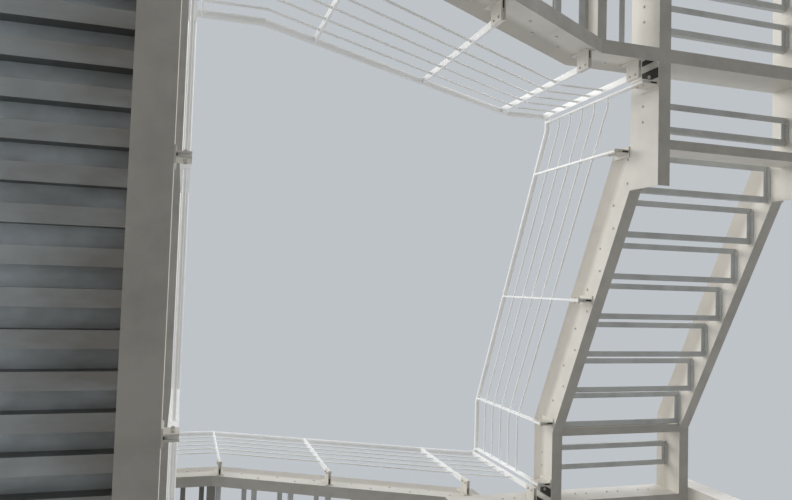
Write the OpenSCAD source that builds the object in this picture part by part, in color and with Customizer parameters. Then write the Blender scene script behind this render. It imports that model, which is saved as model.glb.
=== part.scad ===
// Steel fire escape stair tower: square stair round an open well, outer columns,
// channel stringers, open angle-frame treads and landings, ribbed left landing,
// flat-bar railing posts with round rods. Row frame: X right, Y across, Z up, mm.

/* [Tower] */
// Clear width of the well, from the left web face to the right one
well_x = 2790; // [2600:10:3600]
// Clear depth of the well, from the rear web face to the front one
well_y = 3030; // [2800:10:3800]
// Height of one step
rise = 150; // [140:1:180]
// Risers in one flight
risers = 8; // [6:1:10]

/* [Flights] */
// Horizontal length of one step of the rear flights
rear_going = 245; // [225:1:320]
// Horizontal length of one step of the right flights
right_going = 284; // [225:1:320]
// Horizontal length of one step of the front flights
front_going = 276; // [225:1:320]
// Where the stringer foot of a rear flight ends, from the well corner
rear_foot = 881; // [750:1:950]
// Where the stringer foot of a right flight ends, from the well corner
right_foot = 765; // [650:1:950]
// Where the stringer foot of a front flight ends, from the well corner
front_foot = 747; // [650:1:950]
// Length of a stringer foot along the landing beam
foot_lap = 290; // [200:5:320]
// Distance from the last tread of a rear flight to the upper bend of its stringer
rear_last_gap = 110; // [36:1:150]
// The same distance on the right and front flights
last_gap = 36; // [36:1:150]

/* [Stringers] */
// Depth of the channel stringers and corner landing beams
beam_h = 280; // [200:5:360]
// Flange width of the channels
flange_w = 85; // [60:1:120]
// Web thickness of the channels
web_t = 8; // [5:1:14]
// Flange thickness of the channels
flange_t = 12; // [8:1:20]
// How far the beam top stands above the landing floor
kick_h = 75; // [40:5:120]
// Distance from the well-side web face to the outer web face
run_w = 1155; // [900:1:1500]
// Flange width of the edge beams under the first and the last riser
edge_w = 60; // [40:1:80]
// How far the first edge beam lies before the end of the stringer foot
edge_back = 226; // [150:1:300]

/* [Treads and floor frames] */
// Open gap between one tread and the next
tread_gap = 28; // [15:1:60]
// Leg of the angle bars round a tread
angle_leg = 40; // [30:1:50]
// Thickness of the angle bars
angle_t = 5; // [4:1:8]
// Height of the bolted end plates of a tread
end_plate_h = 62; // [45:1:90]
// Thickness of the end plates
end_plate_t = 8; // [5:1:12]
// Depth of one landing floor frame
frame_d = 190; // [150:1:230]
// Open gap between a bay frame and its edge beam
bay_gap = 88; // [60:1:120]
// Distance from the well corner to the first floor frame of a corner landing
frame_first = 350; // [250:1:400]
// Spacing of the floor frames of a corner landing
frame_pitch = 290; // [240:1:330]
// Floor frames of a corner landing
frames = 3; // [2:1:3]

/* [Left landing] */
// Depth of the edge beams of the left landing
left_beam_h = 160; // [120:5:200]
// Flange width of its edge beam on the well side
left_flange_w = 145; // [85:1:160]
// Spacing of the floor ribs
rib_pitch = 135.4; // [100:0.1:200]
// Width of one floor rib
rib_w = 62; // [40:1:90]
// Distance from the end of the floor to its first rib
rib_first = 83; // [10:1:130]
// Wall of the folded ribs
rib_t = 5; // [3:1:8]
// Thickness of the floor plate
floor_t = 6; // [4:1:10]

/* [Railing] */
// Height of the top rail over a landing floor
rail_h = 1005; // [900:5:1300]
// Diameter of the top rail
rail_d = 42; // [30:1:50]
// Diameter of the infill rods
rod_d = 14; // [10:1:20]
// Distance from the top rail to the first rod
rod_first = 178; // [120:1:200]
// Spacing of the rods
rod_pitch = 157; // [100:1:170]
// Number of rods
rods = 5; // [3:1:5]
// Distance of the railing plane from the stringer web
rail_off = 90; // [60:1:120]
// Distance of the left landing's railing plane from its web
left_rail_off = 38; // [32:1:80]
// Radius of the rail's bends at the well corners, to its centre line
bend_r = 36; // [26:1:80]
// Gap between a corner bend and the post beside it
bend_gap = 1; // [1:1:20]
// Width of the flat-bar posts
post_w = 40; // [30:1:40]
// Thickness of the flat-bar posts
post_t = 12; // [8:1:20]
// Height of the post brackets
bracket_h = 160; // [130:5:200]
// Height of the bracket ears that hold a post
ear_h = 120; // [90:5:125]
// Thickness of the bracket plates
bracket_t = 7; // [5:1:10]
// Width of the bracket plate on the web
bracket_w = 66; // [50:1:90]

/* [Columns] */
// Side of the square hollow columns
col = 180; // [140:5:260]
// Wall of the columns
col_t = 10; // [6:1:16]
// Side of the base plates
plate = 320; // [280:5:420]
// Thickness of the base plates
plate_t = 20; // [12:1:30]
// Spacing of the anchor bolt holes
bolt_gap = 240; // [220:5:270]
// Diameter of the anchor bolt holes
bolt_d = 22; // [16:1:30]

/* [Hidden] */

flight_h = rise * risers;
storey_h = 3 * flight_h;
low = beam_h - kick_h;
outer = run_w + flange_w;
goings = [rear_going, right_going, front_going];
feet = [rear_foot, right_foot, front_foot];
last_gaps = [rear_last_gap, last_gap, last_gap];
e = 1;

// length of well side k: 0 rear, 1 right, 2 front, 3 left
function span(k) = k % 2 == 0 ? well_x : well_y;
function slope(k) = rise / goings[k];
function pitch_a(k) = atan(slope(k));
function vert_h(k) = beam_h / cos(pitch_a(k));
function foot_start(k) = feet[k] - foot_lap;
function kink_low(k) = feet[k] + (flight_h - beam_h) / slope(k);
function kink_top(k) = feet[k] + (flight_h - vert_h(k)) / slope(k);
function edge_at(k) = feet[k] - edge_back;
function tread_d(k) = goings[k] - tread_gap;
function first_tread(k) = kink_low(k) - last_gaps[k] - tread_d(k) / 2 - (risers - 2) * goings[k];
function bay_first(k) = edge_at(k) - edge_w - bay_gap - frame_d / 2;
function bay_last(k) = (kink_low(k) + edge_w / 2 + span(k) - flange_w) / 2;
function zb(k, s) = kick_h + slope(k) * (s - feet[k]);
function zt(k, s) = zb(k, s) + vert_h(k);
function bend_1(k) = feet[k] - 2 * goings[k];
function bend_2(k) = bend_1(k) + flight_h / slope(k);
function rail_z(k, s) = rail_h + max(0, min(flight_h, slope(k) * (s - bend_1(k))));
function rail_off_of(k) = k == 3 ? left_rail_off : rail_off;

// frame of one side of the well: x along the climb, y towards the well
module side(k, z = 0) {
  rotate([0, 0, 90 * k]) translate([-span(k) / 2, -span(k + 1) / 2, z]) children();
}

// channel along x, web face at y = 0, flanges towards -y
module channel(len, h, fw) {
  difference() {
    translate([0, -fw, 0]) cube([len, fw, h]);
    translate([-e, -fw - e, flange_t]) cube([len + 2 * e, fw + e - web_t, h - 2 * flange_t]);
  }
}

// channel along y from y0 down to y1, web face at x = 0, flanges towards -x
module channel_y(y0, y1, h, fw) {
  translate([0, y0, 0]) rotate([0, 0, -90]) channel(y0 - y1, h, fw);
}

// one flight stringer, kinked to run level at its upper end
module stringer(k, end_x, foot_z) {
  c = flange_t / cos(pitch_a(k));
  sh = (c - flange_t) / slope(k);
  toe = feet[k] + (foot_z - kick_h) / slope(k);
  x0 = foot_start(k);
  under = flight_h - low;
  top = flight_h + kick_h;
  rotate([90, 0, 0]) difference() {
    linear_extrude(height = flange_w) polygon([
      [x0, foot_z], [toe, foot_z], [kink_low(k), under], [end_x, under],
      [end_x, top], [kink_top(k), top], [x0, zt(k, x0)]]);
    translate([0, 0, web_t]) linear_extrude(height = flange_w) polygon([
      [x0 - e, foot_z + flange_t], [toe - sh, foot_z + flange_t],
      [kink_low(k) - sh, under + flange_t], [end_x + e, under + flange_t],
      [end_x + e, top - flange_t], [kink_top(k) + sh, top - flange_t],
      [x0 - e, zt(k, x0 - e) - c]]);
  }
}

module flight_stringers(k, z, foot_z = kick_h) {
  side(k, z) {
    stringer(k, span(k), foot_z);
    translate([0, -run_w, 0]) stringer(k, span(k) + run_w, foot_z);
  }
}

// open angle frame of depth d centred on x = 0, its top at z = 0
module angle_frame(d) {
  len = run_w - web_t;
  translate([0, -web_t - len / 2, 0]) {
    difference() {
      translate([-d / 2, -len / 2, -angle_leg]) cube([d, len, angle_leg]);
      translate([-d / 2 + angle_t, -len / 2 + angle_t, -angle_leg + angle_t])
        cube([d - 2 * angle_t, len - 2 * angle_t, angle_leg]);
      translate([-d / 2 + angle_leg, -len / 2 + angle_leg, -angle_leg - e])
        cube([d - 2 * angle_leg, len - 2 * angle_leg, angle_leg]);
    }
    for (i = [-1, 1]) translate([0, i * (len - end_plate_t) / 2, 0]) end_plate(d);
  }
}

// bolted end plate of a frame of depth d, its lower corners rounded
module end_plate(d) {
  w = d - angle_leg;
  r = (end_plate_h - angle_leg) / 2;
  rotate([90, 0, 0]) translate([0, 0, -end_plate_t / 2]) linear_extrude(height = end_plate_t) {
    translate([-w / 2, r - end_plate_h]) square([w, end_plate_h - angle_leg - r + e]);
    translate([r - w / 2, -end_plate_h]) square([w - 2 * r, r + e]);
    for (i = [-1, 1]) translate([i * (w / 2 - r), r - end_plate_h]) circle(r = r, $fn = 32);
  }
}

module flight_treads(k, z) {
  side(k, z) for (i = [1 : risers - 1])
    translate([first_tread(k) + goings[k] * (i - 1), 0, rise * i]) angle_frame(tread_d(k));
}

module corner_main_beams(k, z) {
  side(k, z - low) {
    translate([-run_w, 0, 0]) channel(run_w + feet[k], beam_h, flange_w);
    translate([-outer, -run_w, 0]) channel(outer + feet[k], beam_h, flange_w);
  }
}

// edge beam under the first riser of flight side k, along y
module first_edge(k, z, drop, h) {
  side(k, z) translate([edge_at(k), 0, -drop]) channel_y(-flange_w, -run_w, h, edge_w);
}

// edge beam under the last riser of flight side k, at the level of the landing above
module last_edge(k, z) {
  side(k, z) translate([kink_low(k) + edge_w / 2, 0, -low]) channel_y(-flange_w, -run_w, low, edge_w);
}

module corner_cross_beams(k, z) {
  side(k, z) translate([0, 0, -low]) channel_y(-flange_w, -run_w, beam_h, flange_w);
  first_edge(k, z, low, low);
  last_edge(k - 1, z);
}

// floor frames between a landing and the first riser of flight side k
module first_bay(k, z) {
  side(k, z) for (x = [bay_first(k) : -frame_d - bay_gap : frame_d / 2])
    translate([x, 0, 0]) angle_frame(frame_d);
}

// floor frame between the last riser of flight side k and the landing
module last_bay(k, z) {
  side(k, z) translate([bay_last(k), 0, 0]) angle_frame(frame_d);
}

module corner_floor_frames(k, z) {
  first_bay(k, z);
  last_bay(k - 1, z);
  side(k, z) for (i = [0 : frames - 1])
    translate([-frame_first - frame_pitch * i, 0, 0]) angle_frame(frame_d);
}

module left_side_beams(z) {
  side(3, z + kick_h - left_beam_h) {
    translate([-run_w, 0, 0]) channel(run_w + span(3), left_beam_h, left_flange_w);
    translate([span(3) + flange_w, 0, 0]) channel(run_w - flange_w, left_beam_h, left_flange_w);
    translate([-outer, -run_w, 0]) channel(outer + span(3) + run_w, left_beam_h, flange_w);
  }
}

module left_cross_beams(z, reach) {
  side(0, z + kick_h - left_beam_h) {
    translate([-run_w, 0, 0]) channel(run_w + reach, left_beam_h, flange_w);
    translate([-outer, -run_w, 0]) channel(outer + reach, left_beam_h, flange_w);
  }
}

// ribbed floor strip along x from x0, length len, its ribs as deep as the beams below the floor
module ribbed(x0, len) {
  w = run_w - left_flange_w;
  depth = left_beam_h - kick_h;
  ribs = floor((len - rib_first - rib_w) / rib_pitch);
  translate([x0, -left_flange_w, 0]) rotate([90, 0, 0]) linear_extrude(height = w) difference() {
    union() {
      translate([0, -floor_t]) square([len, floor_t]);
      for (i = [0 : ribs]) translate([rib_first + i * rib_pitch, -depth]) square([rib_w, depth]);
    }
    for (i = [0 : ribs]) translate([rib_first + i * rib_pitch + rib_t, rib_t - depth])
      square([rib_w - 2 * rib_t, depth - floor_t - rib_t]);
  }
}

// floor of a left landing; a landing that a rear flight leaves from has its first edge and bay
module left_floor(z, onward) {
  side(3, z) {
    ribbed(-run_w, run_w + span(3));
    ribbed(span(3) + flange_w, run_w - flange_w);
  }
  last_edge(2, z);
  last_bay(2, z);
  if (onward) {
    first_edge(0, z, left_beam_h - kick_h, left_beam_h - kick_h);
    first_bay(0, z);
  }
}

// round bar between two points (along, up) of the railing plane off from the web
module bar(a, b, d, off) {
  v = b - a;
  translate([a[0], off, a[1]]) rotate([0, 90 - atan2(v[1], v[0]), 0])
    cylinder(d = d, h = norm(v), $fn = 48);
}

// keeps the part of a bar before (dir = -1) or after (dir = 1) a bend of half angle h at point p
module bend_cut(p, h, dir, d, off) {
  difference() {
    children();
    translate([p[0], off, p[1]]) rotate([0, -h, 0])
      translate([dir > 0 ? -3 * d : 0, -2 * d, -2 * d]) cube([3 * d, 4 * d, 4 * d]);
  }
}

// one rail or rod of climbing side k, dz below the rail line, mitred at both bends
module rail_line(k, s0, dz, d, s_end) {
  p = [bend_1(k), rail_h - dz];
  q = [bend_2(k), rail_h + flight_h - dz];
  u = [cos(pitch_a(k)), sin(pitch_a(k))] * d;
  h = pitch_a(k) / 2;
  if (s0 < bend_1(k)) {
    bend_cut(p, h, -1, d, rail_off) bar([s0, p[1]], p + [d, 0], d, rail_off);
    bend_cut(q, h, -1, d, rail_off) bend_cut(p, h, 1, d, rail_off) bar(p - u, q + u, d, rail_off);
  } else bend_cut(q, h, -1, d, rail_off) bar([s0, rail_z(k, s0) - dz], q + u, d, rail_off);
  bend_cut(q, h, 1, d, rail_off) bar(q - [d, 0], [s_end, q[1]], d, rail_off);
}

// keeps what lies before a plane through p that is turned by a about the vertical
module plan_cut(p, z, a) {
  difference() {
    children();
    translate([p[0], p[1], z]) rotate([0, 0, a]) translate([0, -2 * rail_d, -2 * rail_d])
      cube(4 * rail_d);
  }
}

// bend radius at the end of side k; the front left corner is a square mitre
function bend(k) = k % 4 == 2 ? 0 : bend_r;
function corner_in(k) = span(k) - rail_off_of((k + 1) % 4) - bend(k);
function corner_out(k) = rail_off_of((k + 3) % 4) + bend(k + 3);

// rail bent round the well corner at the end of side k
module corner_bend(k, z) {
  translate([corner_in(k), rail_off_of(k) + bend_r, z]) rotate([0, 0, -90])
    rotate_extrude(angle = 90, $fn = 96) translate([bend_r, 0]) circle(d = rail_d, $fn = 48);
}

module post(s, z0, z1, off) {
  translate([s - post_t / 2, off - post_w / 2, z0]) cube([post_t, post_w, z1 - z0]);
}

// brackets keep this far from a beam's lower edge, and from its slope
bracket_gap = 5;
// ears reach this far past a post, and a post starts this far above its bracket's foot
ear_past = 2;
post_lift = 12;
left_bracket_z = kick_h - left_beam_h + bracket_gap;
left_bracket_h = left_beam_h - 4 * bracket_gap;

// lowest point of the bracket at place s along climbing side k
function bracket_z(k, s) = bracket_gap + (s < foot_start(k) ? (k == 0 ? kick_h - left_beam_h : -low)
  : s < feet[k] ? kick_h
  : s < kink_low(k) - bracket_w / 2 ? zb(k, s + bracket_w / 2) : flight_h - low);

// places of the posts along the sides: at the corners, past the foot, midway, before the bend
past_foot = [94, 37, 103];
midway = [1490, 1490, 1556];
before_bend = [104, 70, 58];
left_mid = [1065, 2035];
function first_post(k) = corner_out(k) + bend_gap + post_t / 2;
function last_post(k) = corner_in(k) - (bend(k) > 0 ? bend_gap + post_t / 2 : 0);
function posts(k) = [first_post(k), foot_start(k) + past_foot[k], midway[k],
  kink_low(k) - before_bend[k], last_post(k)];
left_posts = [left_mid[0], left_mid[1], last_post(3)];
ground_posts = [for (i = [1 : 4]) posts(0)[i]];

module climbing_railing(k, z, places) {
  free = places[0] > bend_1(k);
  first = places[0] - post_t / 2;
  last = places[len(places) - 1] + post_t / 2;
  start = free ? first - rail_d : corner_out(k);
  top = rail_h + flight_h;
  side(k, z) {
    if (bend(k) > 0) {
      rail_line(k, start, 0, rail_d, corner_in(k));
      corner_bend(k, top);
    } else plan_cut([corner_in(k), rail_off], top, 45) rail_line(k, start, 0, rail_d, span(k));
    for (i = [0 : rods - 1]) rail_line(k, first, rod_first + rod_pitch * i, rod_d, last);
    for (s = places) post(s, bracket_z(k, s) + post_lift, rail_z(k, s), rail_off);
  }
}

// level railing of a left landing; without a flight onward its rail ends square
module level_railing(z, onward) {
  first = rail_off + post_w / 2;
  last = last_post(3) + post_t / 2;
  rail_end = onward ? corner_in(3) : last + bend_gap;
  side(3, z) {
    plan_cut([corner_out(3), left_rail_off], rail_h, 135)
      bar([0, rail_h], [rail_end, rail_h], rail_d, left_rail_off);
    if (onward) corner_bend(3, rail_h);
    for (i = [0 : rods - 1]) {
      h = rail_h - rod_first - rod_pitch * i;
      bar([first, h], [last, h], rod_d, left_rail_off);
    }
    for (s = left_posts) post(s, left_bracket_z + post_lift, rail_h, left_rail_off);
  }
}

// folded bracket: plate on the web and two ears that hold a post in the plane off
module bracket(s, z0, h, ear, off) {
  translate([s - bracket_w / 2, 0, z0]) cube([bracket_w, bracket_t, h]);
  for (i = [-1, 1]) translate([s + i * (post_t + bracket_t) / 2 - bracket_t / 2, 0, z0])
    cube([bracket_t, off + post_w / 2 + ear_past, ear]);
}

module storey_brackets(z, first_places) {
  left_ear = min(ear_h, left_bracket_h);
  for (k = [0 : 2]) side(k, z + k * flight_h)
    for (s = k == 0 ? first_places : posts(k))
      if (k == 0 && s < foot_start(0)) bracket(s, left_bracket_z, left_bracket_h, left_ear, rail_off);
      else bracket(s, bracket_z(k, s), bracket_h, ear_h, rail_off);
  side(3, z + storey_h) for (s = left_posts)
    bracket(s, left_bracket_z, left_bracket_h, left_ear, left_rail_off);
}

// the two columns of well corner k
module corner_columns(k, top) {
  side(k) for (p = [[-outer - col / 2, -flange_w / 2], [-flange_w / 2, -outer - col / 2]])
    translate([p[0], p[1], plate_t]) difference() {
      translate([-col / 2, -col / 2, 0]) cube([col, col, top - plate_t]);
      translate([-col / 2 + col_t, -col / 2 + col_t, -e])
        cube([col - 2 * col_t, col - 2 * col_t, top - plate_t - col_t + e]);
    }
}

module base_plates() {
  for (k = [0 : 3]) side(k)
    for (p = [[-outer - col / 2, -flange_w / 2], [-flange_w / 2, -outer - col / 2]])
      translate([p[0], p[1], 0]) difference() {
        translate([-plate / 2, -plate / 2, 0]) cube([plate, plate, plate_t]);
        for (i = [-1, 1], j = [-1, 1]) translate([i * bolt_gap / 2, j * bolt_gap / 2, -e])
          cylinder(d = bolt_d, h = plate_t + 2 * e, $fn = 32);
      }
}

top_z = 2 * storey_h + kick_h;
s2 = storey_h;

module left_columns() color("white") { corner_columns(0, top_z); corner_columns(3, top_z); }
module rear_columns() color("white") corner_columns(1, top_z - 2 * flight_h);
module front_columns() color("white") corner_columns(2, top_z - flight_h);
module column_base_plates() color("gainsboro") base_plates();
module flight_1_stringers() color("white") flight_stringers(0, 0, 0);
module flight_2_stringers() color("white") flight_stringers(1, flight_h);
module flight_3_stringers() color("white") flight_stringers(2, 2 * flight_h);
module flight_4_stringers() color("white") flight_stringers(0, s2);
module flight_5_stringers() color("white") flight_stringers(1, s2 + flight_h);
module flight_6_stringers() color("white") flight_stringers(2, s2 + 2 * flight_h);
module flight_1_treads() color("silver") flight_treads(0, 0);
module flight_2_treads() color("silver") flight_treads(1, flight_h);
module flight_3_treads() color("silver") flight_treads(2, 2 * flight_h);
module flight_4_treads() color("silver") flight_treads(0, s2);
module flight_5_treads() color("silver") flight_treads(1, s2 + flight_h);
module flight_6_treads() color("silver") flight_treads(2, s2 + 2 * flight_h);
module rear_landing_1_main_beams() color("white") corner_main_beams(1, flight_h);
module rear_landing_1_cross_beams() color("white") corner_cross_beams(1, flight_h);
module rear_landing_1_floor_frames() color("silver") corner_floor_frames(1, flight_h);
module front_landing_1_main_beams() color("white") corner_main_beams(2, 2 * flight_h);
module front_landing_1_cross_beams() color("white") corner_cross_beams(2, 2 * flight_h);
module front_landing_1_floor_frames() color("silver") corner_floor_frames(2, 2 * flight_h);
module left_landing_1_side_beams() color("white") left_side_beams(storey_h);
module left_landing_1_cross_beams() color("white") left_cross_beams(storey_h, feet[0]);
module left_landing_1_floor() color("silver") left_floor(storey_h, true);
module rear_landing_2_main_beams() color("white") corner_main_beams(1, s2 + flight_h);
module rear_landing_2_cross_beams() color("white") corner_cross_beams(1, s2 + flight_h);
module rear_landing_2_floor_frames() color("silver") corner_floor_frames(1, s2 + flight_h);
module front_landing_2_main_beams() color("white") corner_main_beams(2, s2 + 2 * flight_h);
module front_landing_2_cross_beams() color("white") corner_cross_beams(2, s2 + 2 * flight_h);
module front_landing_2_floor_frames() color("silver") corner_floor_frames(2, s2 + 2 * flight_h);
module left_landing_2_side_beams() color("white") left_side_beams(2 * storey_h);
module left_landing_2_cross_beams() color("white") left_cross_beams(2 * storey_h, 0);
module left_landing_2_floor() color("silver") left_floor(2 * storey_h, false);
module railing_rear_1() color("ivory") climbing_railing(0, 0, ground_posts);
module railing_right_1() color("ivory") climbing_railing(1, flight_h, posts(1));
module railing_front_1() color("ivory") climbing_railing(2, 2 * flight_h, posts(2));
module railing_left_1() color("ivory") level_railing(storey_h, true);
module railing_rear_2() color("ivory") climbing_railing(0, s2, posts(0));
module railing_right_2() color("ivory") climbing_railing(1, s2 + flight_h, posts(1));
module railing_front_2() color("ivory") climbing_railing(2, s2 + 2 * flight_h, posts(2));
module railing_left_2() color("ivory") level_railing(2 * storey_h, false);
module post_brackets_1() color("gainsboro") storey_brackets(0, ground_posts);
module post_brackets_2() color("gainsboro") storey_brackets(s2, posts(0));

left_columns();
rear_columns();
front_columns();
column_base_plates();
flight_1_stringers();
flight_2_stringers();
flight_3_stringers();
flight_4_stringers();
flight_5_stringers();
flight_6_stringers();
flight_1_treads();
flight_2_treads();
flight_3_treads();
flight_4_treads();
flight_5_treads();
flight_6_treads();
rear_landing_1_main_beams();
rear_landing_1_cross_beams();
rear_landing_1_floor_frames();
front_landing_1_main_beams();
front_landing_1_cross_beams();
front_landing_1_floor_frames();
left_landing_1_side_beams();
left_landing_1_cross_beams();
left_landing_1_floor();
rear_landing_2_main_beams();
rear_landing_2_cross_beams();
rear_landing_2_floor_frames();
front_landing_2_main_beams();
front_landing_2_cross_beams();
front_landing_2_floor_frames();
left_landing_2_side_beams();
left_landing_2_cross_beams();
left_landing_2_floor();
railing_rear_1();
railing_right_1();
railing_front_1();
railing_left_1();
railing_rear_2();
railing_right_2();
railing_front_2();
railing_left_2();
post_brackets_1();
post_brackets_2();
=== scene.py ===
"""Looks of a square steel fire escape stair tower, laid out as an add-on and run as a script."""

import math

import bpy
import numpy as np
from mathutils import Matrix


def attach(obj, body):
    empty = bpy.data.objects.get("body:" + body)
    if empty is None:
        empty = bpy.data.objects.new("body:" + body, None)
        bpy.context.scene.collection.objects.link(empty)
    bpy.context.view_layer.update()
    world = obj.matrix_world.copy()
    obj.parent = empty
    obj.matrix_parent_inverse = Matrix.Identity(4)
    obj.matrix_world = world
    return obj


bl_info = {
    "name": "Fire Escape Stair Tower Looks",
    "version": (1, 0, 0),
    "blender": (4, 5, 0),
    "location": "View3D > Sidebar > Stair Tower",
    "description": "Bolts, welds, paint and stage for a square steel fire escape stair",
    "category": "Object",
}

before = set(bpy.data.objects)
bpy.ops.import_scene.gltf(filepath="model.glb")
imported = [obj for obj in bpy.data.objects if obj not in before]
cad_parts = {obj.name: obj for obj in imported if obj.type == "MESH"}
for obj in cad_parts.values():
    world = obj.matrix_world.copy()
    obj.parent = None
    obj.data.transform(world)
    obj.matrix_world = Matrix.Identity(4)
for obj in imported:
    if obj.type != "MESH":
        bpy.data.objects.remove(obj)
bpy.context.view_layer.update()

# sides of the well, in the order of the climb
REAR, RIGHT, FRONT, LEFT = range(4)

# sizes of the steelwork, in metres, as the frame has them; the well's rear and right sides first
WELL = (2.79, 3.03)
RUN_W = 1.155
BEAM_H = 0.28
FLANGE_W = 0.085
WEB_T = 0.008
KICK_H = 0.075
EDGE_W = 0.06
END_PLATE_T = 0.008

# flights, with one value each for the rear, right and front ones; a slope starts at FEET
RISE = 0.15
RISERS = 8
GOINGS = (0.245, 0.284, 0.276)
FEET = (0.881, 0.765, 0.747)
FOOT_LAP = 0.29
LAST_GAPS = (0.11, 0.036, 0.036)
TREAD_GAP = 0.028
EDGE_BACK = 0.226

# floor frames and the left landings
FRAME_D = 0.19
FRAMES = 3
FRAME_FIRST = 0.35
FRAME_PITCH = 0.29
BAY_GAP = 0.088
LEFT_BEAM_H = 0.16
LEFT_FLANGE_W = 0.145
FLOOR_T = 0.006

# railings, posts and brackets
RAIL_H = 1.005
RAIL_OFF = 0.09
LEFT_RAIL_OFF = 0.038
BEND_R = 0.036
BEND_GAP = 0.001
ROD_D = 0.014
RODS = 5
ROD_FIRST = 0.178
ROD_PITCH = 0.157
POST_W = 0.04
POST_T = 0.012
BRACKET_T = 0.007
BRACKET_W = 0.066
BRACKET_GAP = 0.005
EAR_H = 0.12

# places of the posts: past the foot, midway and before the bend of each flight
PAST_FOOT = (0.094, 0.037, 0.103)
MIDWAY = (1.49, 1.49, 1.556)
BEFORE_BEND = (0.104, 0.07, 0.058)
LEFT_MID = (1.065, 2.035)

# columns and base plates
COL = 0.18
PLATE_T = 0.02
BOLT_GAP = 0.24

# pieces of the visual model alone: the corner fillet, the play, gap and least lengths of the dark
# blocks of painted shade and of the spacers, the gap beside the corner's dark block and its bolt's
# height, and how far a rod's weld sinks into the post and stands off the rod
CORNER_R = 0.034
SLOT_PLAY = 0.0004
SPACER_GAP = 0.001
SPACER_MIN = 0.006
BLOCK_MIN = 0.004
CORNER_GAP = 0.002
CORNER_BOLT_UP = 0.075
RING_SINK = 0.0005
RING_LIP = 0.0004
RING_SIDES = 10

# forms of bolts, as shares of the size across the flats
WASHER_R = 0.64
WASHER_T = 0.128
WASHER_SIDES = 8
ANCHOR_SIDES = 20
HEAD_H = 0.4
HEAD_RIM = 0.08
HEAD_TOP = 0.86
NUT_H = 0.5
STUD_R = 0.33
STUD_H = 0.2
STUD_TAPER = 0.9

# derived sizes
FLIGHT_H = RISE * RISERS
STOREY_H = 3 * FLIGHT_H
LOW = BEAM_H - KICK_H
OUTER = RUN_W + FLANGE_W
LEFT_FOOT = BRACKET_GAP + KICK_H - LEFT_BEAM_H
SLOPES = [RISE / g for g in GOINGS]
FOOT_STARTS = [f - FOOT_LAP for f in FEET]
KINKS = [f + (FLIGHT_H - BEAM_H) / m for f, m in zip(FEET, SLOPES)]
EDGES = [f - EDGE_BACK for f in FEET]
FIRST_TREADS = [
    kink - gap - (g - TREAD_GAP) / 2 - (RISERS - 2) * g
    for kink, gap, g in zip(KINKS, LAST_GAPS, GOINGS)
]

# side of the well and level of the foot of each flight
FLIGHTS = [
    (k, storey * STOREY_H + k * FLIGHT_H) for storey in (0, 1) for k in (REAR, RIGHT, FRONT)
]
# well corner and level of each corner landing
CORNERS = [(k, z) for k, z in FLIGHTS if k != REAR]
# side, and place along it and inward, of the middle of each column
COLUMNS = [
    (k, x, y)
    for k in range(4)
    for x, y in ((-OUTER - COL / 2, -FLANGE_W / 2), (-FLANGE_W / 2, -OUTER - COL / 2))
]

# finishes: the soil's display colour, also used for its painted shade on faces that look down,
# the share of the painted shade on the upper web and its blur, the depth of the paint's relief,
# and what sets each finish apart from plain site paint
SOIL_TONE = (120, 117, 110)
SHADE_SHARE = 0.85
SHADE_BLUR = 0.03
RELIEF = 0.0006
FINISHES = {
    "rail_paint": {"soil_and_shade": 0.03, "gloss": 0.38, "bump": 0.02},
    "tread_paint": {"soil_and_shade": 0.3},
    "deck_zinc": {"soil_and_shade": 0.3, "gloss": 0.42, "metal": 0.2},
    # painted shade: the dark blocks in the slots and the well corners
    "rubber": {"soil_and_shade": 0.2, "gloss": 0.7},
    "anchor_zinc": {"gloss": 0.4, "metal": 0.7},
}

# stage: the floor's half width and roughness, the sky's colour and the share of the way to the
# front over which it dims, and the width, direction and colour of the soft suns
FLOOR_REACH = 60.0
FLOOR_ROUGHNESS = 0.9
SKY = (0.95, 0.97, 1.0, 1.0)
FRONT_REACH = 0.7
SUN_WIDTH = math.radians(35)
SUNS = {
    "key": ((-0.62, -0.3, 0.72), (1.0, 0.97, 0.92)),
    "fill": ((0.8, -0.35, 0.5), (0.97, 0.98, 1.0)),
}

# the photograph's camera: focal length in the picture's dots, turn, place and clipping
PHOTO_WIDTH = 792
PHOTO_FOCAL = 697.97
SENSOR_WIDTH = 36.0
VIEW_ROWS = (
    (0.95584035, -0.03077383, -0.29227077),
    (0.04406924, 0.99826640, 0.03901409),
    (0.29056348, -0.05017139, 0.95553948),
)
EYE = (-1.3485, -0.0916, 1.0118)
CLIP = (0.05, 200.0)


# shapes


def turn(k, vectors):
    """Directions of well side k, turned by k quarter turns about the vertical."""
    v = np.asarray(vectors, float)
    c, s = ((1, 0), (0, 1), (-1, 0), (0, -1))[k % 4]
    return np.stack([c * v[..., 0] - s * v[..., 1], s * v[..., 0] + c * v[..., 1], v[..., 2]], -1)


def place(k, z, points):
    """Points (along, inward, up) of well side k at level z, shifted so that the side's first
    corner is their origin and turned by k quarter turns about the well's axis."""
    return turn(k, np.asarray(points, float) - (WELL[k % 2] / 2, WELL[(k + 1) % 2] / 2, -z))


def span(k):
    """Length of well side k."""
    return WELL[k % 2]


def rail_start(k):
    """Where the straight rail of climbing side k starts, past the bend of the corner before."""
    return (LEFT_RAIL_OFF if k == REAR else RAIL_OFF) + BEND_R


def rail_stop(k):
    """Where the straight rail of side k ends; the front left corner is square."""
    return span(k) - (LEFT_RAIL_OFF if k == FRONT else RAIL_OFF + BEND_R)


def rail_height(k, s):
    """Height of the rail's axis over the foot level: it climbs between its two bends, and stays
    level on the left."""
    if k == LEFT:
        return RAIL_H
    climb = SLOPES[k] * (s - FEET[k] + 2 * GOINGS[k])
    return RAIL_H + min(max(climb, 0.0), FLIGHT_H)


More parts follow.
